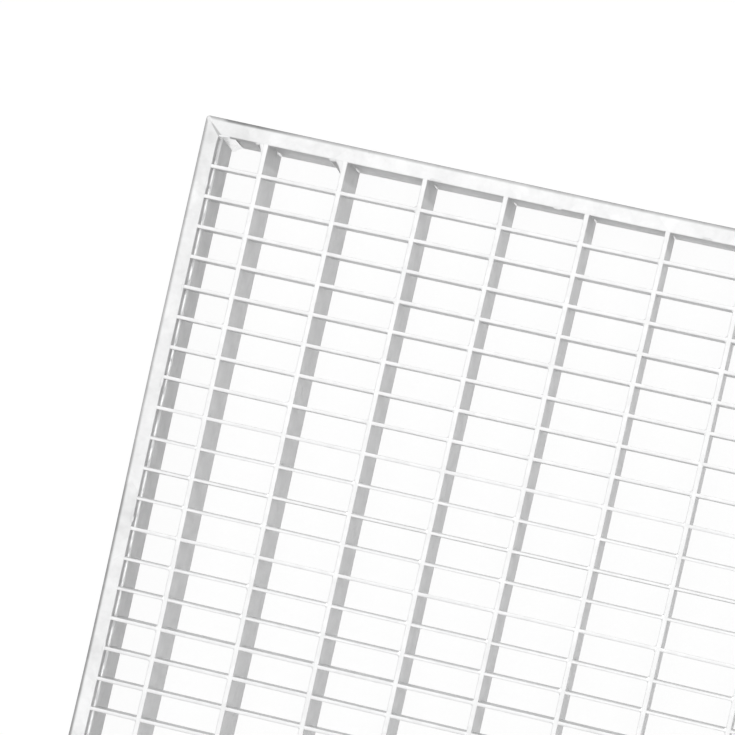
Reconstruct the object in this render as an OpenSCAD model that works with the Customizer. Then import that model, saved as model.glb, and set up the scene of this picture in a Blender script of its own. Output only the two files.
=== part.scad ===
// Welded steel grating panel, 30/10 mesh, with a mitred T-section edge trim.
// Lies flat: origin under the panel's centre, +Z up, +Y towards the back trim.
// All lengths are in millimetres.

/* [Panel] */
// Overall length across the bearing bars (X)
panel_w = 590; // [250:5:1200]
// Overall length along the bearing bars (Y)
panel_l = 390; // [150:5:1000]
// Overall height, which is the depth of a bearing bar
panel_h = 30; // [29.5:0.5:45]
// Radius of the four outer corners, seen from above
corner_r = 1.8; // [1.3:0.1:3]

/* [Bearing bars] */
// Thickness of a bearing bar
bearing_t = 2; // [1.5:0.1:5]
// Distance between the centres of neighbouring bearing bars
bearing_pitch = 33.33; // [20:0.01:50]
// Outer edge of the left trim to the centre of the first bearing bar
first_bearing = 27; // [16:0.1:40]

/* [Cross bars] */
// Thickness of a cross bar
cross_t = 1.5; // [1:0.1:3]
// Depth of a cross bar, flush with the top of the bearing bars
cross_h = 12; // [8:0.5:20]
// Distance between the centres of neighbouring cross bars
cross_pitch = 12.5; // [8:0.1:40]
// Outer edge of the back trim to the centre of the first cross bar
first_cross = 19; // [10:0.1:30]

/* [Edge trim] */
// Width of the flat head
head_w = 7; // [6.5:0.1:10]
// Thickness of the head
head_t = 4.5; // [3:0.1:6]
// Radius along the head's outer upper edge
outer_r = 1.2; // [0.3:0.1:1.8]
// Radius along the head's inner upper edge
inner_r = 0.3; // [0.1:0.1:1]
// Thickness of the web, centred under the head
web_t = 5; // [2.5:0.1:6]

/* [Side bars] */
// Thickness of the flat bar that stands against each side trim's web
side_bar_t = 2; // [1.5:0.1:3]
// Depth of that bar, from the underside of the head
side_bar_h = 21; // [12:0.5:22]

/* [Hidden] */

arc_sides = 48;                          // fineness of every round
half_w = panel_w / 2;
half_l = panel_l / 2;
web_recess = (head_w - web_t) / 2;       // how far the web stands back under the head
web_face = head_w - web_recess;          // outer edge of the trim to its web's inner face
meshes = 3;                              // the bar mesh is held in this many nodes

// A last bearing bar or cross bar keeps at least this much from the far outer edge
last_bearing_room = first_bearing - bearing_pitch / 3;
last_cross_room = web_face + cross_pitch / 2;
bearings = floor((panel_w - first_bearing - last_bearing_room) / bearing_pitch) + 1;
crosses = floor((panel_l - first_cross - last_cross_room) / cross_pitch) + 1;

function bearing_x(i) = -half_w + first_bearing + i * bearing_pitch;
function cross_y(k) = half_l - first_cross - k * cross_pitch;

// Mesh m holds the bearing bars from first_of(m) up to, not including, first_of(m + 1)
function first_of(m) = ceil(bearings * m / meshes);

// A mesh ends on the left face of the next mesh's first bar, and at the head of a side trim
function mesh_start(m) = m == 0 ? -half_w + head_w : bearing_x(first_of(m)) - bearing_t / 2;
function mesh_end(m) = m == meshes - 1 ? half_w - head_w : mesh_start(m + 1);

// ---- Edge trim -------------------------------------------------------------

// Section of the trim: x runs in from the outer edge, y runs up from the floor
module trim_section() {
    translate([0, panel_h - head_t]) square([head_w, head_t - outer_r]);
    translate([outer_r, panel_h - head_t]) square([head_w - outer_r, head_t - inner_r]);
    translate([outer_r, panel_h - head_t]) square([head_w - outer_r - inner_r, head_t]);
    translate([outer_r, panel_h - outer_r]) circle(r = outer_r, $fn = arc_sides);
    translate([head_w - inner_r, panel_h - inner_r]) circle(r = inner_r, $fn = arc_sides);
    translate([web_recess, 0]) square([web_t, panel_h - head_t]);
}

// The panel's outline from above, with its four rounded corners
module panel_outline() {
    square([panel_w - 2 * corner_r, panel_l], center = true);
    square([panel_w, panel_l - 2 * corner_r], center = true);
    for (x = [-1, 1], y = [-1, 1])
        translate([x * (half_w - corner_r), y * (half_l - corner_r)])
            circle(r = corner_r, $fn = arc_sides);
}

// A length of trim on the -Y side, with both ends mitred at 45 degrees
module mitred_trim(length, width) {
    intersection() {
        translate([-length / 2, -width / 2, 0])
            rotate([90, 0, 90]) linear_extrude(length) trim_section();
        translate([0, -width / 2, 0]) linear_extrude(panel_h)
            polygon([[-length / 2, 0], [length / 2, 0],
                     [length / 2 - head_w, head_w], [-length / 2 + head_w, head_w]]);
    }
}

// side 0 is the front, and each further side is a quarter turn anticlockwise
module trim(side) {
    along_x = side % 2 == 0;
    intersection() {
        rotate(90 * side)
            mitred_trim(along_x ? panel_w : panel_l, along_x ? panel_l : panel_w);
        linear_extrude(panel_h) panel_outline();
    }
}

module trim_front() { color("gainsboro") trim(0); }
module trim_right() { color("gainsboro") trim(1); }
module trim_back() { color("gainsboro") trim(2); }
module trim_left() { color("gainsboro") trim(3); }

// ---- Bar mesh --------------------------------------------------------------

// A bearing bar, full depth, with its ends notched to fit under the trim's head
module bearing_bar(x) {
    translate([x - bearing_t / 2, 0, 0]) rotate([90, 0, 90]) linear_extrude(bearing_t) {
        translate([-half_l + web_face, 0])
            square([panel_l - 2 * web_face, panel_h - head_t]);
        translate([-half_l + head_w, 0])
            square([panel_l - 2 * head_w, panel_h]);
    }
}

// The cross bars of one mesh, from its start to its end
module cross_bars(start, end) {
    for (k = [0 : crosses - 1])
        translate([start, cross_y(k) - cross_t / 2, panel_h - cross_h])
            cube([end - start, cross_t, cross_h]);
}

// The flat bar against a side trim's web: direction is -1 on the left and 1 on the right
module side_bar(direction) {
    face = half_w - web_face - side_bar_t / 2;
    translate([direction * face, 0, panel_h - head_t - side_bar_h / 2])
        cube([side_bar_t, panel_l - 2 * web_face, side_bar_h], center = true);
}

module mesh(m) {
    for (i = [first_of(m) : first_of(m + 1) - 1]) bearing_bar(bearing_x(i));
    cross_bars(mesh_start(m), mesh_end(m));
}

module mesh_left() {
    color("silver") {
        mesh(0);
        side_bar(-1);
    }
}

module mesh_middle() { color("silver") mesh(1); }

module mesh_right() {
    color("silver") {
        mesh(2);
        side_bar(1);
    }
}

trim_back();
trim_front();
trim_left();
trim_right();
mesh_left();
mesh_middle();
mesh_right();
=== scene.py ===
# %% [markdown]
# # A welded steel grating panel, hot-dip galvanised
#
# The panel is a flat mesh of upright bars in a mitred frame. Deep bearing bars carry the load, slim
# cross bars hold them apart, and a heavy T-shaped trim closes the four sides. After welding, the whole
# panel was dipped in molten zinc, which left a pale, faintly clouded coat with soft edges.
#
# The panel's main solids come from its CAD model, packed as a fixed frame. This lesson dresses them:
# the front trim keeps its CAD body and takes a zinc finish. The other trims and the bars are made
# again with soft edges and small leans, and the beads of zinc and weld metal are added.

import math
import random

import bmesh
import bpy
from mathutils import Matrix, Vector


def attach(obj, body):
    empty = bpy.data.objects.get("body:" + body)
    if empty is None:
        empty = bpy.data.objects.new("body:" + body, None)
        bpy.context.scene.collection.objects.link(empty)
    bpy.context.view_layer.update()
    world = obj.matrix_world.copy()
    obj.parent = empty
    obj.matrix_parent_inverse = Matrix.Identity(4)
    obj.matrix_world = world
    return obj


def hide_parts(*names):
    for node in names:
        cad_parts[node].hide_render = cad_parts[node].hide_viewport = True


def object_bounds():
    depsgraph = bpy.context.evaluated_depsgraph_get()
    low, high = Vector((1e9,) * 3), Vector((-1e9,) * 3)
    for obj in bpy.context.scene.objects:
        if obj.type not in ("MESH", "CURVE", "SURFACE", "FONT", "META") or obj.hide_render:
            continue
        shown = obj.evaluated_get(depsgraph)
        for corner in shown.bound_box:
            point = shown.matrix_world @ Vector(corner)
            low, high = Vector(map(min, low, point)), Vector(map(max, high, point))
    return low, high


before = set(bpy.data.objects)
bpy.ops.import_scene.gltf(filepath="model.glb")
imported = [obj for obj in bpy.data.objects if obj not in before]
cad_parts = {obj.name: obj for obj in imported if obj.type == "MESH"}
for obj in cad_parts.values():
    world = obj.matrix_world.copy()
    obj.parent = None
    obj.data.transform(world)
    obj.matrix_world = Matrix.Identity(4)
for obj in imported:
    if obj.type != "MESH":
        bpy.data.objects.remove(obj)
cad_low, cad_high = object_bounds()
print("CAD box:", [round(v, 4) for v in (*cad_low, *cad_high)])

# %% [markdown]
# ## The panel's measures
#
# Every place on the panel is counted from the frame, in metres. The outer box comes from the CAD
# bodies, and the pitches and thicknesses are the CAD model's own: one bearing bar every 33.33 mm, one
# cross bar every 12.5 mm. Counting from the back left corner, as a workshop would, puts the new bars
# where the CAD bars are.

# %% Measures
MM = 0.001
top = cad_high.z
half_width = cad_high.x
half_length = cad_high.y
head_width = 7 * MM
head_depth = 4.5 * MM
web_face = 6 * MM
bar_thick = 2 * MM
bar_pitch = 33.33 * MM
first_bar = 27 * MM
bar_count = 17
rod_thick = 1.5 * MM
rod_depth = 12 * MM
rod_pitch = 12.5 * MM
first_rod = 19 * MM
rod_count = 29
side_thick = 2 * MM
side_depth = 21 * MM
bar_places = [first_bar - half_width + bar_pitch * i for i in range(bar_count)]
rod_places = [half_length - first_rod - rod_pitch * k for k in range(rod_count)]
print(len(bar_places), "bearing bars and", len(rod_places), "cross bars")

# %% [markdown]
# ## How welding pulled the back trim
#
# A long trim never comes off the welding table quite true. On this panel the head of the back trim
# stands 1.4 mm too far out at the left corner and comes back into line over the next 180 mm, while
# its foot was drawn half a millimetre inwards. The trim could be turned as a whole, but then its
# mitres would gape. So one small function holds this pull, and every piece near the back trim is moved
# by it: the mitres stay shut and the bars still meet the web. The pull has its full strength within
# 12 mm of the back edge and fades out over the next 9 mm.

# %% The pull of the welds
pull_most = 1.4 * MM
pull_until = -112 * MM
foot_in = 0.5 * MM
pull_reach = 21 * MM
pull_fade = 9 * MM


def pull(piece):
    """Moves a bmesh's points near the back trim along Y, as the welding did."""
    for vert in piece.verts:
        near = min(1, max(0, (vert.co.y - half_length + pull_reach) / pull_fade))
        out = pull_most * max(0, (pull_until - vert.co.x) / (pull_until + half_width))
        rise = vert.co.z / top
        vert.co.y += near * (out * rise - foot_in * (1 - rise))


print("the back head stands out by", pull_most / MM, "mm at the left corner")

# %% [markdown]
# ## How the bars stray sideways
#
# The mesh isn't true either. The left side, with its trim and its first bars, was drawn in towards
# the middle of its length. The bow lessens from bar to bar, turns the other way at the fifth, and
# dies out at the eleventh. The back ends of a few bars were set up to 0.4 mm too far to the right, and
# two whole bars stand a little to the left. Each bar also leans over its depth: bar_tenths lists the
# leans in tenths of a millimetre, and the list repeats after seven bars.
#
# A lattice could bend the finished mesh, but it would bend every piece alike. One function that gives
# a bar's shift at any place can be asked by the webs and the welds as well, so they follow the bars.
# The left trim's head is 0.4 mm slimmer than the others, and a second function moves what lies inside.

# %% Sideways shift
bow_most = 0.8 * MM
bow_front = -130 * MM
bow_middle = -20 * MM
bow_back = 105 * MM
slim_left = 0.4 * MM
behind_most = 0.5 * MM
bar_tenths = (2, -1, 0, 1, 0, 3, 5)
bar_offsets = {5: -0.15 * MM, 6: -0.4 * MM}


def smooth_step(value, start, stop):
    """0 where value is under start, 1 where it is over stop, and a smooth step between."""
    part = min(1, max(0, (value - start) / (stop - start)))
    return part * part * (3 - 2 * part)


def bow(y):
    """How far the left side is drawn in at y, as a share of the most."""
    return smooth_step(y, bow_front, bow_middle) * (1 - smooth_step(y, bow_middle, bow_back))


def bow_share(i):
    """The share of the left side's bow that bearing bar i has."""
    if i < 7:
        return 1 - 0.294 * i
    return -0.19 * max(0, 10 - i)


def behind_share(i, y):
    """How much of the shift at the back ends bearing bar i has at y: the most between bars 3 and 4."""
    return min(1, max(0, (y - 135 * MM) / (45 * MM))) * max(0, 1 - abs(i - 3.5) / 3.3)


def bar_shift(i, y, z):
    """How far to the right bearing bar i stands at y and z."""
    lean = bar_tenths[i % len(bar_tenths)] * 0.1 * MM * (1 - z / top)
    bowed = bow_share(i) * bow_most * bow(y)
    return bowed + behind_share(i, y) * behind_most + bar_offsets.get(i, 0) - lean


def left_shift(y):
    """How far to the right the pieces inside the left head stand at y."""
    return bow_most * bow(y) - slim_left


print("the left side is drawn in by up to", bow_most / MM, "mm")

# %% [markdown]
# ## The camera
#
# A panel lying on the floor is best seen from above. The camera stands a little over a metre up,
# almost over the middle, and looks down and to the left, past the back left corner, turned so that
# the bars run aslant. A long lens keeps the bars nearly parallel. The camera could be turned with
# three angles, but a target point and one roll angle are easier to read and to change.

# %% Camera
def look_at(eye, aim, roll):
    """A camera's matrix: at eye, facing aim, its upper edge towards +Y and then rolled."""
    ahead = (aim - eye).normalized()
    right = ahead.cross(Vector((0, 1, 0))).normalized()
    up = right.cross(ahead)
    turned = Matrix((right, up, -ahead)).transposed().to_4x4()
    return Matrix.Translation(eye) @ turned @ Matrix.Rotation(math.radians(roll), 4, "Z")


lens = bpy.data.cameras.new("overhead_camera")
lens.sensor_width = 36
lens.lens = 151.1
lens.shift_y = 0.0993
lens.clip_start = 0.01
lens.clip_end = 50
camera = bpy.data.objects.new("overhead_camera", lens)
camera_eye = Vector((0.0074, 0.0779, 1.2512))
camera_aim = Vector((-0.2006, 0.0813, 0.030))
camera.matrix_world = look_at(camera_eye, camera_aim, roll=12.71)
bpy.context.scene.collection.objects.link(camera)
bpy.context.scene.camera = camera
print("camera", round(camera_eye.length, 3), "m from the panel's middle")

# %% [markdown]
# ## Floor and light
#
# Pale zinc on a pale floor reads only by its edges, so the light comes mostly from straight above. A
# large soft box hangs over the panel: everything that faces up is bright, and every upright side and
# rounded edge falls to a mid grey. A weak even sky fills the rest.
#
# The floor is white to the camera and to mirror-like reflections, but a plain grey to scattered
# light, so that it doesn't wash out the sides of the bars from below. Part of what the camera sees is
# still the floor's own shading, which keeps the panel's shadow on it.

# %% Rays that are seen directly
def link(tree, out, into):
    tree.links.new(out, into)


def seen_directly(tree):
    """1 where a ray comes from the camera, a mirror-like reflection or glass, and 0 otherwise."""
    path = tree.nodes.new("ShaderNodeLightPath")
    first = tree.nodes.new("ShaderNodeMath")
    first.operation = "MAXIMUM"
    second = tree.nodes.new("ShaderNodeMath")
    second.operation = "MAXIMUM"
    link(tree, path.outputs["Is Camera Ray"], first.inputs[0])
    link(tree, path.outputs["Is Glossy Ray"], first.inputs[1])
    link(tree, first.outputs[0], second.inputs[0])
    link(tree, path.outputs["Is Transmission Ray"], second.inputs[1])
    return second.outputs[0]


print("ray helper ready")

# %% Floor
def floor_finish():
    """White to the camera, with a faint shading on top, and grey to scattered light."""
    made = bpy.data.materials.new("studio_floor")
    made.use_nodes = True
    tree = made.node_tree
    tree.nodes.clear()
    out = tree.nodes.new("ShaderNodeOutputMaterial")
    glow = tree.nodes.new("ShaderNodeEmission")
    glow.inputs["Color"].default_value = (1, 1, 1, 1)
    glow.inputs["Strength"].default_value = 0.93
    shade = tree.nodes.new("ShaderNodeBsdfDiffuse")
    shade.inputs["Color"].default_value = (0.50, 0.50, 0.50, 1)
    faint = tree.nodes.new("ShaderNodeBsdfDiffuse")
    faint.inputs["Color"].default_value = (0.11, 0.11, 0.11, 1)
    both = tree.nodes.new("ShaderNodeAddShader")
    pick = tree.nodes.new("ShaderNodeMixShader")
    link(tree, glow.outputs[0], both.inputs[0])
    link(tree, faint.outputs[0], both.inputs[1])
    link(tree, seen_directly(tree), pick.inputs["Fac"])
    link(tree, shade.outputs[0], pick.inputs[1])
    link(tree, both.outputs[0], pick.inputs[2])
    link(tree, pick.outputs[0], out.inputs["Surface"])
    return made


floor_reach = 6
floor_gap = 0.2 * MM
floor_bm = bmesh.new()
bmesh.ops.create_grid(floor_bm, x_segments=1, y_segments=1, size=floor_reach)
bmesh.ops.translate(floor_bm, vec=(0, 0, cad_low.z - floor_gap), verts=floor_bm.verts)
floor_mesh = bpy.data.meshes.new("studio_floor")
floor_bm.to_mesh(floor_mesh)
floor_bm.free()
floor_mesh.materials.append(floor_finish())
floor = bpy.data.objects.new("studio_floor", floor_mesh)
bpy.context.scene.collection.objects.link(floor)
print("floor", [round(v, 2) for v in floor.dimensions])

# %% Light
def soft_box(name, place, aim, size, power):
    """A square area light at place, turned to face aim."""
    data = bpy.data.lights.new(name, "AREA")
    data.shape = "SQUARE"
    data.size = size
    data.energy = power
    lamp = bpy.data.objects.new(name, data)
    lamp.location = place
    lamp.rotation_euler = (Vector(aim) - Vector(place)).to_track_quat("-Z", "Y").to_euler()
    bpy.context.scene.collection.objects.link(lamp)


soft_box("key_box", place=(0.2, 0.9, 4.0), aim=(0, 0, 0), size=4.5, power=84)
sky = bpy.data.worlds.new("studio_sky")
sky.use_nodes = True
bpy.context.scene.world = sky
sky_tree = sky.node_tree
sky_tree.nodes.clear()
sky_out = sky_tree.nodes.new("ShaderNodeOutputWorld")
fill = sky_tree.nodes.new("ShaderNodeBackground")
fill.inputs["Color"].default_value = (1, 1, 1, 1)
fill.inputs["Strength"].default_value = 0.42
white = sky_tree.nodes.new("ShaderNodeBackground")
white.inputs["Color"].default_value = (1, 1, 1, 1)
white.inputs["Strength"].default_value = 1.0
sky_pick = sky_tree.nodes.new("ShaderNodeMixShader")
link(sky_tree, seen_directly(sky_tree), sky_pick.inputs["Fac"])
link(sky_tree, fill.outputs[0], sky_pick.inputs[1])
link(sky_tree, white.outputs[0], sky_pick.inputs[2])
link(sky_tree, sky_pick.outputs[0], sky_out.inputs["Surface"])
bpy.context.scene.view_settings.view_transform = "Standard"
print("one soft box and an even sky")

# %% [markdown]
# ## The zinc coat
#
# Molten zinc freezes into crystals. On thin bars they are too fine to see one by one, but they give
# a faint patchwork of lighter and darker grey, with soft clouds over it where the coat ran thicker,
# and slow streaks down the faces where it drained. The coat could be painted as a picture, but nodes
# that read the panel's own coordinates need no unwrapping, run on from bar to bar as the real clouds
# do, and stay sharp close up.
#
# A Voronoi pattern makes the crystals, a stretched noise makes the runs, and a broad noise makes the
# clouds. The same patterns change the roughness, and a fine noise raises the skin a little.

# %% Node helpers
def add_node(tree, kind, **sockets):
    """A new node with some of its inputs set; a socket's name has _ for each space."""
    made = tree.nodes.new(kind)
    for name, value in sockets.items():
        made.inputs[name.replace("_", " ")].default_value = value
    return made


def in_range(tree, source, low, high):
    """source, from 0 to 1, spread over low to high."""
    made = add_node(tree, "ShaderNodeMapRange", To_Min=low, To_Max=high)
    link(tree, source, made.inputs["Value"])
    return made.outputs["Result"]


def spread(tree, source, start, stop, low=0.0, high=1.0):
    """low where source is under start, high where it is over stop, and a smooth step between."""
    made = add_node(tree, "ShaderNodeMapRange", From_Min=start, From_Max=stop, To_Min=low, To_Max=high)
    made.interpolation_type = "SMOOTHSTEP"
    link(tree, source, made.inputs["Value"])
    return made.outputs["Result"]


def calc(tree, first, second, how="ADD"):
    """One sum: first and second are added, unless how names another operation."""
    made = tree.nodes.new("ShaderNodeMath")
    made.operation = how
    link(tree, first, made.inputs[0])
    if isinstance(second, (int, float)):
        made.inputs[1].default_value = second
    else:
        link(tree, second, made.inputs[1])
    return made.outputs[0]


def times(tree, first, second):
    return calc(tree, first, second, "MULTIPLY")


def less(tree, source):
    """One minus source."""
    return calc(tree, times(tree, source, -1.0), 1.0)


def size_of(tree, source):
    """source without its sign."""
    return calc(tree, source, 0.0, "ABSOLUTE")


def inside(tree, place, half):
    """How far a place lies inside the nearer of the edges at plus and minus half."""
    return less(tree, calc(tree, size_of(tree, place), 1.0 - half))


def axes(tree, where):
    """The outputs X, Y and Z of a place."""
    split = tree.nodes.new("ShaderNodeSeparateXYZ")
    link(tree, where, split.inputs[0])
    return split.outputs


print("sum helpers ready")

# %% Pattern helpers
def noise(tree, where, scale, detail=3.0, rough=0.55):
    made = add_node(tree, "ShaderNodeTexNoise", Scale=scale, Detail=detail, Roughness=rough)
    link(tree, where, made.inputs["Vector"])
    return made.outputs["Fac"]


def stretched(tree, where, scale):
    made = tree.nodes.new("ShaderNodeMapping")
    made.inputs["Scale"].default_value = scale
    link(tree, where, made.inputs["Vector"])
    return made.outputs["Vector"]


print("pattern helpers ready")

# %% Zinc shader
def zinc(name, tone, crystal=240.0, cloud=38.0, depth=0.05, metal=0.25, rough=0.5, skin=0.12, marks=None):
    """A hot-dip zinc coat.

    tone is its middle grey, and depth is how far the patches stray from it. crystal and cloud are the
    scales of the two patterns, skin is the height of the raised skin, and marks is what darkens it:
    marks on the coat, and painted shade.
    """
    made = bpy.data.materials.new(name)
    made.use_nodes = True
    tree = made.node_tree
    skin_shader = tree.nodes["Principled BSDF"]
    skin_shader.inputs["Metallic"].default_value = metal
    where = tree.nodes.new("ShaderNodeTexCoord").outputs["Object"]

    cells = add_node(tree, "ShaderNodeTexVoronoi", Scale=crystal, Randomness=1.0)
    link(tree, where, cells.inputs["Vector"])
    grain = tree.nodes.new("ShaderNodeSeparateColor")
    link(tree, cells.outputs["Color"], grain.inputs["Color"])
    crystals = in_range(tree, grain.outputs["Red"], -0.18 * depth, 0.18 * depth)
    clouds = in_range(tree, noise(tree, where, cloud, 4.0, 0.6), -depth, depth)
    wisps = in_range(tree, noise(tree, where, 3.4 * cloud, 2.0, 0.6), -depth, depth)
    clouds = calc(tree, clouds, wisps)
    drained = noise(tree, stretched(tree, where, (1, 1, 0.16)), 330.0, 2.0)
    runs = in_range(tree, drained, -0.5 * depth, 0.5 * depth)
    speckle = in_range(tree, noise(tree, where, 210.0, 3.0), -0.45 * depth, 0.45 * depth)
    grey = calc(tree, calc(tree, calc(tree, crystals, clouds), runs), speckle)
    grey = calc(tree, grey, tone)
    # The marks can carry painted shade as well as marks on the coat.
    if marks:
        grey = times(tree, grey, marks(tree, where))

    colour = tree.nodes.new("ShaderNodeCombineColor")
    link(tree, grey, colour.inputs["Red"])
    link(tree, times(tree, grey, 1.001), colour.inputs["Green"])
    link(tree, times(tree, grey, 1.003), colour.inputs["Blue"])
    link(tree, colour.outputs[0], skin_shader.inputs["Base Color"])

    gloss = in_range(tree, grain.outputs["Green"], rough - 0.05, rough + 0.05)
    gloss = calc(tree, gloss, times(tree, clouds, 0.8))
    link(tree, gloss, skin_shader.inputs["Roughness"])

    raised = tree.nodes.new("ShaderNodeBump")
    raised.inputs["Strength"].default_value = skin
    raised.inputs["Distance"].default_value = 0.4 * MM
    swells = times(tree, noise(tree, where, 90.0, 2.0), 1.5)
    lumps = calc(tree, noise(tree, where, 420.0, 3.0), swells)
    link(tree, lumps, raised.inputs["Height"])
    link(tree, raised.outputs["Normal"], skin_shader.inputs["Normal"])
    print(name, "tone", tone, "metal", metal)
    return made


print("zinc shader ready")

# %% [markdown]
# ## Marks on the coat, and painted shade
#
# The coat isn't the same everywhere. Its outer upper edge is darkened, partly as a thin, scuffed
# coat and partly as painted shade on the round, most of all 10 to 18 mm from a side edge and towards
# the front. The inner part of each mitre shows as a fine dark groove, and the heads are duller and
# more clouded near a corner. Each web is darkened towards its top with painted shade, where the head's
# shadow falls. Small dark dots are ash from the zinc bath.
#
# All of this could be painted by hand, but marks that are counted from the panel's edges need no
# picture and come out alike on every trim. They follow the pull and the bow.

# %% Marks and painted shade on the trims
def inward(tree, place):
    """How far a point on the trims lies in from the side edge and from the end edge."""
    bowed = times(tree, spread(tree, place["Y"], bow_front, bow_middle),
                  spread(tree, place["Y"], bow_middle, bow_back, bow_most, 0.0))
    bowed = times(tree, bowed, spread(tree, place["X"], -10 * MM, 0.0, 1.0, 0.0))
    from_side = inside(tree, calc(tree, place["X"], bowed, "SUBTRACT"), half_width)

    pulled = add_node(tree, "ShaderNodeMapRange", From_Min=-half_width, From_Max=pull_until,
                      To_Min=pull_most, To_Max=0.0)
    link(tree, place["X"], pulled.inputs["Value"])
    pulled = times(tree, pulled.outputs["Result"], spread(tree, place["Y"], 0.0, 100 * MM))
    from_end = inside(tree, calc(tree, place["Y"], pulled, "SUBTRACT"), half_length)
    return from_side, from_end


def rim_wear_and_shade(tree, where, place, from_side, nearest, apart):
    """How much of the coat's tone is left along the outer upper edge, darkened partly by wear and partly as
    painted shade on the round; the mitres' tips stay clean.
    """
    # Painted shade and wear: the rounded outer edge is darkened, most of all 10 to 18 mm from a side edge.
    rim_darkening = spread(tree, nearest, 0.8 * MM, 1.8 * MM, 0.34, 0.0)
    handled = spread(tree, from_side, 7 * MM, 10 * MM, 1.0, 1.9)
    spared = spread(tree, from_side, 18 * MM, 52 * MM, 0.0, 0.9)
    rim_darkening = times(tree, rim_darkening, calc(tree, handled, spared, "SUBTRACT"))
    rim_darkening = times(tree, rim_darkening, spread(tree, place["Y"], 38 * MM, 70 * MM, 1.6, 1.0))
    on_arris = spread(tree, place["Z"], top - 2.2 * MM, top - 1.4 * MM)
    rim_darkening = times(tree, calc(tree, rim_darkening, 0.66, "MINIMUM"), on_arris)
    worn = in_range(tree, noise(tree, where, 75.0, 3.0, 0.7), 0.6, 1.3)
    worn = times(tree, worn, spread(tree, apart, 0.6 * MM, 1.8 * MM))
    return less(tree, times(tree, rim_darkening, worn))


def specks(tree, where):
    """Small dark dots, far apart: ash from the zinc bath, caught in the coat."""
    dots = add_node(tree, "ShaderNodeTexVoronoi", Scale=58.0, Randomness=1.0)
    link(tree, where, dots.inputs["Vector"])
    chosen = tree.nodes.new("ShaderNodeSeparateColor")
    link(tree, dots.outputs["Color"], chosen.inputs["Color"])
    near = spread(tree, dots.outputs["Distance"], 0.03, 0.07, 0.22, 0.0)
    return less(tree, times(tree, near, spread(tree, chosen.outputs["Red"], 0.55, 0.6)))


def trim_marks_and_shade(tree, where):
    """The rim's wear and painted shade, the mitre grooves, the duller corners, the painted shade on the webs
    and the specks.
    """
    place = axes(tree, where)
    from_side, from_end = inward(tree, place)
    nearest = calc(tree, from_side, from_end, "MINIMUM")
    apart = size_of(tree, calc(tree, from_side, from_end, "SUBTRACT"))
    rim = rim_wear_and_shade(tree, where, place, from_side, nearest, apart)

    seam = spread(tree, calc(tree, apart, nearest, "DIVIDE"), 0.08, 0.20, 0.36, 0.0)
    groove = times(tree, seam, spread(tree, nearest, 2.2 * MM, 3.4 * MM))
    corner = calc(tree, from_side, from_end, "MAXIMUM")
    dulled = spread(tree, corner, 12 * MM, 42 * MM, 0.955, 1.0)
    patches = in_range(tree, noise(tree, where, 95.0, 3.0, 0.6), -0.12, 0.12)
    patches = times(tree, patches, spread(tree, corner, 25 * MM, 120 * MM, 1.0, 0.0))
    # Painted shade: each web is darker towards its top, under the head, where the head's shadow falls.
    under = spread(tree, place["Z"], 5 * MM, 24 * MM, 1.0, 0.78)
    web = calc(tree, under, spread(tree, place["Z"], top - 0.7 * MM, top - 0.25 * MM), "MAXIMUM")
    marks = times(tree, times(tree, rim, less(tree, groove)), calc(tree, dulled, patches))
    return times(tree, times(tree, marks, web), specks(tree, where))


print("trim marks ready")

# %% Marks and painted shade on the bars and welds
def bar_end_shade_and_specks(tree, where):
    """Duller flanks where the ends of the bars were welded to the trim's web."""
    place = axes(tree, where)
    # Painted shade on the bars' flanks near their ends, under the trim's head, and the specks.
    from_end = inside(tree, place["Y"], half_length)
    # Painted shade: the flanks within about 13 mm of each end are darker, and the crest keeps its tone.
    ends = spread(tree, from_end, 12.5 * MM, 14.5 * MM, 0.86, 1.0)
    crest = spread(tree, place["Z"], top - 1.2 * MM, top - 0.4 * MM)
    return times(tree, calc(tree, ends, crest, "MAXIMUM"), specks(tree, where))


def weld_flank_shade(tree, where, flank_shade=0.68):
    """Painted shade: the flanks under the crest are darker than the crest."""
    return spread(tree, axes(tree, where)["Z"], top - 1.3 * MM, top - 0.4 * MM, flank_shade, 1.0)


def rod_flank_shade(tree, where):
    """Painted shade: the flanks of the cross bars are a little darker than their tops."""
    return weld_flank_shade(tree, where, 0.87)


print("bar and weld marks ready")

# %% [markdown]
# ## The zinc finishes
#
# The wide heads show larger crystals and stronger clouds, the bars are finer and smoother, and the
# small beads are brighter and more like a mirror, as zinc is where it froze without touching anything.
# Each could have a node tree of its own, but nine coats from one shader are easier to keep alike.

# %% Zinc finishes
trim_zinc = zinc("trim_zinc", 0.94, crystal=150.0, cloud=34.0, depth=0.11, rough=0.55, marks=trim_marks_and_shade)
side_zinc = zinc("side_zinc", 0.90, crystal=150.0, cloud=30.0, depth=0.12, rough=0.55, marks=trim_marks_and_shade)
bar_zinc = zinc("bar_zinc", 0.905, crystal=260.0, cloud=45.0, depth=0.06, rough=0.46, marks=bar_end_shade_and_specks)
rod_zinc = zinc("rod_zinc", 0.905, crystal=260.0, cloud=45.0, depth=0.06, rough=0.46, marks=rod_flank_shade)
ledge_zinc = zinc("ledge_zinc", 0.825, crystal=260.0, cloud=45.0, depth=0.06, rough=0.46)
satin_zinc = zinc("satin_zinc", 0.955, crystal=260.0, cloud=90.0, depth=0.03, metal=0.5, rough=0.4)
bright_zinc = zinc("bright_zinc", 0.965, crystal=260.0, cloud=90.0, depth=0.03, metal=0.95, rough=0.3)
weld_zinc = zinc("weld_zinc", 0.90, crystal=300.0, cloud=120.0, depth=0.05, rough=0.5, marks=weld_flank_shade)
bead_zinc = zinc("bead_zinc", 0.90, crystal=420.0, cloud=160.0, depth=0.04, metal=0.8, rough=0.35, skin=0.25)
print("nine zinc finishes")

# %% [markdown]
# ## Helpers for new pieces
#
# Each new piece is a bmesh that is built up from small solids and then written to one object at the
# origin. A small solid is shaped in a bmesh of its own, because operators such as bevel then touch
# nothing else, and it is poured into the piece when it is finished.

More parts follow.
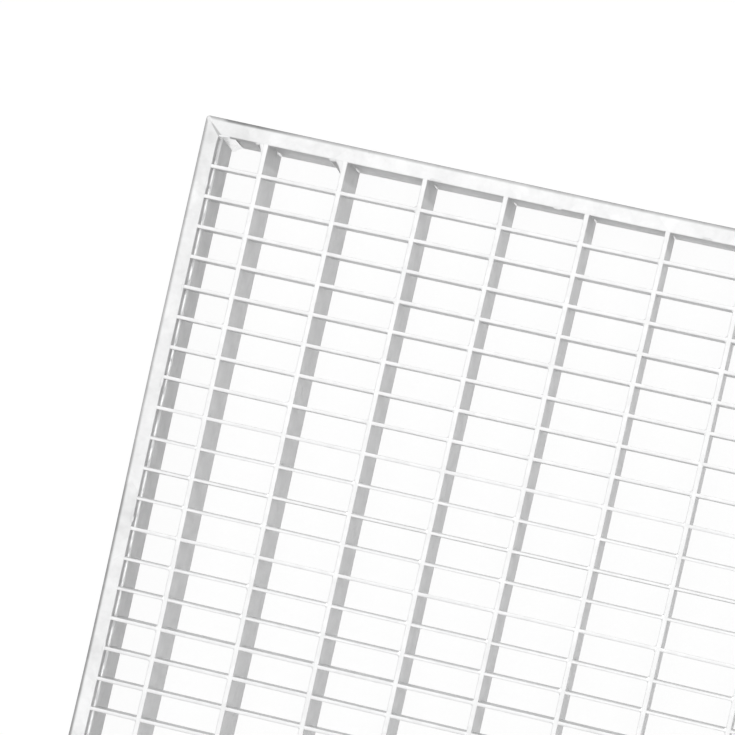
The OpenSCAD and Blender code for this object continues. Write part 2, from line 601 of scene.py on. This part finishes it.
# %% Shaping helpers
def pour(piece, part):
    """Adds part to piece, and frees part."""
    cup = bpy.data.meshes.new("cup")
    part.to_mesh(cup)
    piece.from_mesh(cup)
    bpy.data.meshes.remove(cup)
    part.free()


def block(low, high):
    """A bmesh of one block between two corners."""
    part = bmesh.new()
    bmesh.ops.create_cube(part, size=1)
    size = [b - a for a, b in zip(low, high)]
    middle = [(a + b) / 2 for a, b in zip(low, high)]
    bmesh.ops.scale(part, vec=size, verts=part.verts)
    bmesh.ops.translate(part, vec=middle, verts=part.verts)
    return part


def long_edges(part, axis, above):
    """The edges of part that run along an axis, above a height."""
    found = []
    for edge in part.edges:
        step = edge.verts[0].co - edge.verts[1].co
        if abs(step[axis]) > 0.9 * step.length and edge.verts[0].co.z > above:
            found.append(edge)
    return found


def soften(part, edges, width, segments=2):
    """Rounds some edges of part."""
    bmesh.ops.bevel(part, geom=edges, offset=width, offset_type="OFFSET", segments=segments,
                    profile=0.5, affect="EDGES", clamp_overlap=True, material=-1)


def cut(part, place, facing):
    """Cuts all of part with a plane, and keeps both sides."""
    bmesh.ops.bisect_plane(part, geom=part.verts[:] + part.edges[:] + part.faces[:],
                           plane_co=place, plane_no=facing)


print("shaping helpers ready")

# %% Finishing a piece
def finish_piece(piece, name, finish, smooth=30):
    """Writes a bmesh to an object at the origin, riding on the panel.

    Edges that turn by more than smooth degrees stay sharp.
    """
    bmesh.ops.recalc_face_normals(piece, faces=piece.faces)
    for face in piece.faces:
        face.smooth = True
    for edge in piece.edges:
        if len(edge.link_faces) == 2 and edge.calc_face_angle() > math.radians(smooth):
            edge.smooth = False
    mesh = bpy.data.meshes.new(name)
    piece.to_mesh(mesh)
    triangles = sum(len(f.verts) - 2 for f in piece.faces)
    piece.free()
    mesh.materials.append(finish)
    made = bpy.data.objects.new(name, mesh)
    bpy.context.scene.collection.objects.link(made)
    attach(made, "root")
    print(name, triangles, "triangles")
    return made


print("finishing helper ready")

# %% [markdown]
# ## The edge trim
#
# The trim is a rolled T-section, cut at 45 degrees and welded at the corners. Its flat head is 7 mm
# wide, round along the outer edge. The CAD model already has this shape with its rounds, so the
# front trim's CAD body stays as it is and only takes the zinc finish.

# %% Front trim
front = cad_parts["trim_front"]
front.data.materials.clear()
front.data.materials.append(trim_zinc)
print("trim_front takes", front.data.materials[0].name)

# %% [markdown]
# ## The other three trims
#
# The back, left and right trims touch what the welds pulled. They could be drawn anew from the
# section, but a copy of the CAD body keeps every round. A CAD body is loose triangles, so the copy is
# merged first. Then it is cut across, which gives it points to bend at: the back trim once, where the
# pull ends, and the left trim in twenty places along the bow. Two more cuts beside the mitres let the
# left head be slimmed between them, so that the mitres stay shut. Shading that is weighted by area
# keeps the wide faces flat.

# %% Back, left and right trims
bow_cuts = 20
mitre_reach = half_length - head_width - 4 * MM


def bend_left(copy):
    """Slims the left head on its inner side, and gives the left trim its bow."""
    steps = [bow_front + (bow_back - bow_front) * n / (bow_cuts - 1) for n in range(bow_cuts)]
    for y in [-mitre_reach] + steps + [mitre_reach]:
        cut(copy, (0, y, 0), (0, 1, 0))
    for vert in copy.verts:
        in_head = vert.co.x > head_width - half_width - 0.5 * MM
        if in_head and abs(vert.co.y) < mitre_reach + 0.1 * MM:
            vert.co.x -= slim_left
        vert.co.x += bow_most * bow(vert.co.y)


for side, finish in (("back", trim_zinc), ("left", side_zinc), ("right", side_zinc)):
    node = "trim_" + side
    copy = bmesh.new()
    copy.from_mesh(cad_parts[node].data)
    bmesh.ops.remove_doubles(copy, verts=copy.verts, dist=0.001 * MM)
    if side == "back":
        cut(copy, (pull_until, 0, 0), (1, 0, 0))
    if side == "left":
        bend_left(copy)
    pull(copy)
    trim = finish_piece(copy, side + "_trim", finish)
    trim.modifiers.new("flat_faces", "WEIGHTED_NORMAL").keep_sharp = True
    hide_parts(node)

# %% [markdown]
# ## Bearing bars
#
# Seventeen upright flats, 30 by 2 mm, run from the back trim to the front one. They were sheared from
# strip, so the upper edges are slightly round, and the zinc rounds them a little more. Each bar is a
# block whose right upper edge is bevelled by 0.3 mm; the left one and the lower ones get half of that.
# Cutting the bar into short lengths lets it take its shift and stray a few hundredths of a millimetre
# more, which breaks up the ruler-straight look. The tops end 0.04 mm under the top of the trim's head,
# which they butt into.

# %% Bearing bars
chance = random.Random(7)
bar_end = half_length - web_face
bar_top = top - 0.04 * MM
bar_cuts = 24
full_turn = 6.28
wave_sum = 1.8


def wander(part, axis, across, amount, length, seed):
    """Moves points sideways by a slow wave along the axis, the same at every height.

    Three waves make it up, and together they come to wave_sum at the most.
    """
    draw = random.Random(seed)
    waves = [(draw.uniform(0.7, 1.3), draw.uniform(0, full_turn)) for _ in range(3)]
    for vert in part.verts:
        place = full_turn * vert.co[axis] / length
        side = 0
        for n, (rate, start) in enumerate(waves, 1):
            side += math.sin(place * rate * n + start) / n
        vert.co[across] += amount * side / wave_sum


bearing = bmesh.new()
for i, x in enumerate(bar_places):
    bar = block((x - bar_thick / 2, -bar_end, cad_low.z), (x + bar_thick / 2, bar_end, bar_top))
    right_edge = [e for e in long_edges(bar, 1, top / 2) if e.verts[0].co.x > x]
    soften(bar, right_edge, 0.30 * MM)
    left_edge = [e for e in long_edges(bar, 1, top - 0.1 * MM) if e.verts[0].co.x < x - 0.9 * MM]
    soften(bar, left_edge, 0.14 * MM, 1)
    lower_edges = [e for e in long_edges(bar, 1, -1) if e.verts[0].co.z < top / 4]
    soften(bar, lower_edges, 0.15 * MM, 1)
    bmesh.ops.subdivide_edges(bar, edges=long_edges(bar, 1, -1), cuts=bar_cuts, use_grid_fill=True)
    wander(bar, 1, 0, 0.06 * MM, 2 * half_length, 100 + i)
    for vert in bar.verts:
        vert.co.x += bar_shift(i, vert.co.y, vert.co.z)
    pull(bar)
    pour(bearing, bar)
bearing_bars = finish_piece(bearing, "bearing_bars", bar_zinc)
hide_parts("mesh_left", "mesh_middle", "mesh_right")

# %% [markdown]
# ## Cross bars
#
# Twenty-nine slim flats, 12 by 1.5 mm, are pressed into slots in the bearing bars, flush with their
# tops. The press never sets them quite alike: each one leans by up to about half a millimetre over its
# depth and sits about a tenth of a millimetre low, and five in every fifteen have a rounder back edge.
# The leans are listed in tenths of a millimetre, and repeat after fifteen bars. Over the
# left third the bars also fan out a little towards the front.
#
# An array of one bar would look like a drawing, so each is built by itself: a bevelled block, cut forty
# times along its length. The lean moves its lower edge and not its top. Both ends reach half a
# millimetre into the heads, and under them into the side bars.

# %% Cross bars
rod_end = half_width - head_width + 0.5 * MM
rod_cuts = 40
rod_wave = 300 * MM
rod_pattern = 15
round_rods = (9, 10, 11, 13, 14)
rod_tenths = (-2, 1, 2, 3, 3, 1, 2, 2, 0, 1, 5, 3, 5, 4, 3)
rod_shifts = []


def drift(k, x):
    """How far cross bar k strays towards the front at x: over the left third they fan out a little."""
    fan = min(1, max(0, 2 * (-x / half_width - 0.37)))
    return fan * (0.08 * min(k, 10) - 0.19) * MM


crossing = bmesh.new()
for k, y in enumerate(rod_places):
    rounded = k % rod_pattern in round_rods
    drop = chance.uniform(0.06, 0.12) * MM
    shift = (0.15 + chance.uniform(-0.05, 0.05)) * MM
    lean = -(rod_tenths[k % rod_pattern] + chance.uniform(-0.5, 0.5)) * 0.1 * MM
    rod_shifts.append(shift)
    low = (-rod_end, y + shift - rod_thick / 2, top - rod_depth)
    rod = block(low, (rod_end, y + shift + rod_thick / 2, top - drop))
    back = [e for e in long_edges(rod, 0, top - 1 * MM) if e.verts[0].co.y > y + shift]
    back_round = (0.9 if rounded else 0.14) * MM
    soften(rod, back, back_round, 3)
    upper = long_edges(rod, 0, top - drop - 0.01 * MM)
    front = [e for e in upper if e.verts[0].co.y < y + shift - 0.7 * MM]
    front_round = (0.2 if rounded else 0.28) * MM
    soften(rod, front, front_round, 3)
    bmesh.ops.subdivide_edges(rod, edges=long_edges(rod, 0, -1), cuts=rod_cuts, use_grid_fill=True)
    for vert in rod.verts:
        vert.co.y += lean * (top - vert.co.z) / rod_depth - drift(k, vert.co.x)
    wander(rod, 0, 1, 0.08 * MM, rod_wave, 300 + k)
    pour(crossing, rod)
finish_piece(crossing, "cross_bars", rod_zinc)

# %% [markdown]
# ## Side bars
#
# A shallower flat stands against the web of each side trim, tucked up under the head, and the ends of
# the cross bars are welded to it. It shows as a thin pale ledge inside the head. A plain block would
# nearly do, but zinc gathered on that ledge, so its inner upper edge stands 0.2 mm further in.

# %% Side bars
ledge_out = 0.2 * MM
sides = bmesh.new()
for way in (-1, 1):
    inner = half_width - web_face - side_thick
    xs = sorted((way * inner, way * (half_width - web_face)))
    ledge = top - head_depth
    flat = block((xs[0], -bar_end, ledge - side_depth), (xs[1], bar_end, ledge))
    soften(flat, long_edges(flat, 1, top / 2), 0.14 * MM, 1)
    for vert in flat.verts:
        if vert.co.z > top / 2 and abs(vert.co.x) < half_width - head_width - 0.5 * MM:
            vert.co.x -= way * ledge_out
    bmesh.ops.subdivide_edges(flat, edges=long_edges(flat, 1, -1), cuts=bar_cuts, use_grid_fill=True)
    wander(flat, 1, 0, 0.05 * MM, 2 * half_length, 500 + way)
    if way < 0:
        for vert in flat.verts:
            vert.co.x += left_shift(vert.co.y)
    pull(flat)
    pour(sides, flat)
finish_piece(sides, "side_bars", ledge_zinc)

# %% [markdown]
# ## Zinc in the crossings
#
# Where a cross bar passes a bearing bar, molten zinc stays in the corner and freezes as a small
# web. On this panel it gathered on the left of each bearing bar. Each web starts as a coarse sphere
# whose diagonal points are drawn in, so that it curves inwards between the two bars as a real
# meniscus does. The upper half is pressed flat, for a low crown, and the lower half is drawn out down
# the corner. The webs follow the shift and the drift of the bars. There are almost five hundred, so
# each has only a few dozen faces.

# %% Zinc webs
waist = 0.62


def zinc_web(place, reach, width, crown, depth, draw):
    """One web: reach is half its size across the bearing bar, and width half its size along it."""
    part = bmesh.new()
    bmesh.ops.create_uvsphere(part, u_segments=8, v_segments=6, radius=1)
    for vert in part.verts:
        if abs(vert.co.x) > 0.1 and abs(vert.co.y) > 0.1:
            vert.co.x *= waist
            vert.co.y *= waist
    for vert in part.verts:
        vert.co.z *= crown if vert.co.z > 0 else depth
    size = (reach * draw.uniform(0.8, 1.2), width * draw.uniform(0.8, 1.2), 1)
    bmesh.ops.scale(part, vec=size, verts=part.verts)
    bmesh.ops.translate(part, vec=place - Vector((0, 0, crown)), verts=part.verts)
    return part


webs = bmesh.new()
for i, x in enumerate(bar_places):
    for k, y in enumerate(rod_places):
        left = x - bar_thick / 2 + bar_shift(i, y, top)
        spot = Vector((left, y + rod_shifts[k] - drift(k, x), top - 0.08 * MM))
        pour(webs, zinc_web(spot, reach=1.6 * MM, width=1.45 * MM, crown=0.5 * MM, depth=5 * MM, draw=chance))
finish_piece(webs, "zinc_webs", bead_zinc, smooth=80)

# %% [markdown]
# ## Shapes for the welds
#
# Two small shapes make all the welds. A wedge starts as a block; one cut with a plane leaves a
# three-sided prism, and a bevel takes off its sharp edges. A bead is a stretched ball. Both corners of
# a side are made by the same call with the direction turned round, which is easier to check than a
# mirror.

# %% Weld shapes
def wedge(corner, leg_x, leg_y, low, high, soft, hollow=0.0):
    """A three-sided upright prism in a corner, with its legs along X and Y; a leg's sign is its direction.

    hollow draws the middle of the slanted side in towards the corner, for a hollow fillet.
    """
    part = block((0, 0, low), (1, 1, high))
    everything = part.verts[:] + part.edges[:] + part.faces[:]
    bmesh.ops.bisect_plane(part, geom=everything, plane_co=(1, 0, 0), plane_no=(1, 1, 0), clear_outer=True)
    bmesh.ops.holes_fill(part, edges=part.edges, sides=0)
    if hollow:
        slanted = [e for e in part.edges if all(v.co.x + v.co.y > 0.99 for v in e.verts) and
                   abs(e.verts[0].co.x - e.verts[1].co.x) > 0.9]
        bmesh.ops.subdivide_edges(part, edges=slanted, cuts=6, use_grid_fill=True)
        for vert in part.verts:
            drawn = 1 - hollow * 4 * vert.co.x * vert.co.y
            vert.co.x *= drawn
            vert.co.y *= drawn
    bmesh.ops.scale(part, vec=(leg_x, leg_y, 1), verts=part.verts)
    bmesh.ops.recalc_face_normals(part, faces=part.faces)
    rim = part.edges[:]
    if hollow:
        rim = [e for e in rim if min(v.co.z for v in e.verts) > high - soft / 2]
    soften(part, rim, soft)
    bmesh.ops.translate(part, vec=(corner[0], corner[1], 0), verts=part.verts)
    return part


def bead(place, size, turn=0.0):
    """A stretched ball of weld metal, turned about the upright axis."""
    part = bmesh.new()
    bmesh.ops.create_uvsphere(part, u_segments=10, v_segments=8, radius=1)
    bmesh.ops.scale(part, vec=size, verts=part.verts)
    bmesh.ops.rotate(part, cent=(0, 0, 0), matrix=Matrix.Rotation(turn, 3, "Z"), verts=part.verts)
    bmesh.ops.translate(part, vec=place, verts=part.verts)
    return part


print("weld shapes ready")

# %% [markdown]
# ## Welds at the bar ends
#
# Each end of a bearing bar is welded to the trim's web with one slim upright bead, low down on one
# side of the bar. The beads at the first and last bars are half as thick again. Ripples could be
# modelled on them, but they are seen only through the mesh, so one stretched ball with a length drawn
# by chance is enough for each.

# %% Welds at the bar ends
bead_height = 6.5 * MM
end_welds = bmesh.new()
for way in (-1, 1):
    for i, x in enumerate(bar_places):
        length = chance.uniform(4.5, 6.0) * MM
        thick = (0.9 if i in (0, bar_count - 1) else 0.6) * MM
        beside = x + way * (bar_thick / 2 + 0.1 * MM) + bar_shift(i, way * bar_end, bead_height)
        pour(end_welds, bead((beside, way * bar_end, bead_height), (thick, thick, length)))
pull(end_welds)
finish_piece(end_welds, "end_welds", bead_zinc, smooth=80)

# %% [markdown]
# ## Welds in the frame's corners
#
# In each inner corner of the frame a wedge of weld metal fills the angle between the two trims, from
# just under their tops down to the foot. It is long beside the back or front trim and short beside the
# side trim. It could be swept along a curve, but its slanted side is flat enough to catch the light in
# one piece. So it is a wedge whose lower points are moved: lower down it gets shorter and swings in
# from the corner, as a run of weld metal does.

# %% Welds in the frame's corners
weld_top = top - 0.12 * MM
weld_foot = 1 * MM
weld_long = 6.2 * MM
weld_short = 1.3 * MM
corner_welds = bmesh.new()
for across in (-1, 1):
    for along in (-1, 1):
        inset = head_width - 0.3 * MM
        start = (across * (half_width - inset), along * (half_length - inset))
        part = wedge(start, -across * weld_long, -along * weld_short, weld_foot, weld_top, soft=0.25 * MM)
        for vert in part.verts:
            fall = (weld_top - vert.co.z) / (weld_top - weld_foot)
            out = (vert.co.y - start[1]) / (-along * weld_short)
            reach = (vert.co.x - start[0]) * (1 - 0.38 * fall)
            vert.co.x = start[0] + reach - across * 0.7 * MM * fall
            vert.co.y -= along * MM * (out * 1.3 - 0.6) * fall
        pour(corner_welds, part)
pull(corner_welds)
finish_piece(corner_welds, "corner_welds", bright_zinc, smooth=50)

# %% [markdown]
# ## Welds on the mitres
#
# The heads are joined on top as well, but the weld was ground almost flush. Two low beads on each
# mitre are all that still stands up near the corner's tip. A bump in the finish wouldn't change the
# outline there, so they are stretched balls, turned along the mitre and sunk until only their crowns
# show.

# %% Mitre welds
mitre_welds = bmesh.new()
for across in (-1, 1):
    for along in (-1, 1):
        for inset, long in ((1.9 * MM, 1.3 * MM), (3.1 * MM, 1.6 * MM)):
            spot = Vector((across * (half_width - inset), along * (half_length - inset), top - 0.5 * MM))
            along_mitre = math.atan2(along, across)
            pour(mitre_welds, bead(spot, (long, 1.2 * MM, 0.62 * MM), along_mitre))
pull(mitre_welds)
finish_piece(mitre_welds, "mitre_welds", side_zinc, smooth=80)

# %% [markdown]
# ## Gussets
#
# At the two bearing bars nearest each corner the welder also closed the gap beside the head, which
# left a flat three-cornered gusset of weld metal flush with the top. It could be cut from a sheet, but
# the real one is hollow on its slanted side and thicker below. So each one is a slightly hollow wedge
# that flares towards its foot, with a small bead at its toe, where the weld began on the head.

# %% Gussets
gusset_depth = 7 * MM
gusset_top = top - 0.06 * MM
gusset_sizes = ((1.9 * MM, 5.2 * MM), (3.2 * MM, 4.6 * MM))
gussets = bmesh.new()
for across in (-1, 1):
    for along in (-1, 1):
        nearest = (0, 1) if across < 0 else (bar_count - 1, bar_count - 2)
        for i, (wide, long) in zip(nearest, gusset_sizes):
            x = bar_places[i] + bar_shift(i, along * bar_end, top)
            start = (x + across * bar_thick / 2, along * (half_length - head_width + 0.1 * MM))
            legs = (across * wide, -along * long)
            foot = top - gusset_depth
            part = wedge(start, *legs, foot, gusset_top, soft=0.12 * MM, hollow=0.08)
            for vert in part.verts:
                flare = 1 + 0.95 * (top - vert.co.z) / gusset_depth
                vert.co.x = start[0] + (vert.co.x - start[0]) * flare
                vert.co.y = start[1] + (vert.co.y - start[1]) * min(flare, 1.3)
            pour(gussets, part)
            toe = 0.6 * wide
            beside = start[0] + across * (wide + 0.6 * toe)
            pour(gussets, bead((beside, start[1], top - 0.72 * MM), (toe, 0.95 * MM, 0.64 * MM)))
pull(gussets)
finish_piece(gussets, "gussets", weld_zinc, smooth=50)

# %% [markdown]
# ## Zinc along the ledges
#
# The zinc that ran down the side webs collected on the side bars' ledges. It froze in a broken row of
# long low beads, and they catch the light. One long rod would make a dead straight line there, so each
# bead is a stretched ball with a length, a thickness and a gap of its own.

# %% Zinc along the ledges
ledge_beads = bmesh.new()
for way in (-1, 1):
    place = -bar_end + 6 * MM
    while place < bar_end - 6 * MM:
        long = chance.uniform(2.5, 7.0) * MM
        drawn = left_shift(place) - 0.1 * MM if way < 0 else 0
        x = way * (half_width - head_width - 0.38 * MM) + drawn
        size = (chance.uniform(0.75, 0.85) * MM, long, chance.uniform(0.4, 0.55) * MM)
        pour(ledge_beads, bead((x, place, top - head_depth + 0.05 * MM), size))
        place += long * chance.uniform(1.5, 2.6)
finish_piece(ledge_beads, "ledge_beads", satin_zinc, smooth=80)

# %% [markdown]
# ## Zinc drips on the heads
#
# As the panel was lifted out of the bath, the last zinc hung on the heads' inner edges and froze there
# as small flat drips, a few centimetres apart. Displacing the heads would take many more points for
# the same thing, so each drip is a flattened ball sunk into the edge, which makes it a little uneven.

# %% Zinc drips on the heads
drips = bmesh.new()
for way in (-1, 1):
    for length, edge, turned in ((half_length, half_width, False), (half_width, half_length, True)):
        place = -length + chance.uniform(20, 50) * MM
        while place < length - 20 * MM:
            long = chance.uniform(1.2, 3.0) * MM
            wide = chance.uniform(0.5, 0.8) * MM
            inset = edge - head_width + chance.uniform(0.2, 0.6) * MM
            drawn = left_shift(place) if way < 0 else 0
            spot = (place, way * inset) if turned else (way * inset + drawn, place)
            size = (long, wide) if turned else (wide, long)
            pour(drips, bead((*spot, top - 0.12 * MM), (*size, 0.3 * MM)))
            place += chance.uniform(25, 75) * MM
pull(drips)
finish_piece(drips, "zinc_drips", side_zinc, smooth=80)
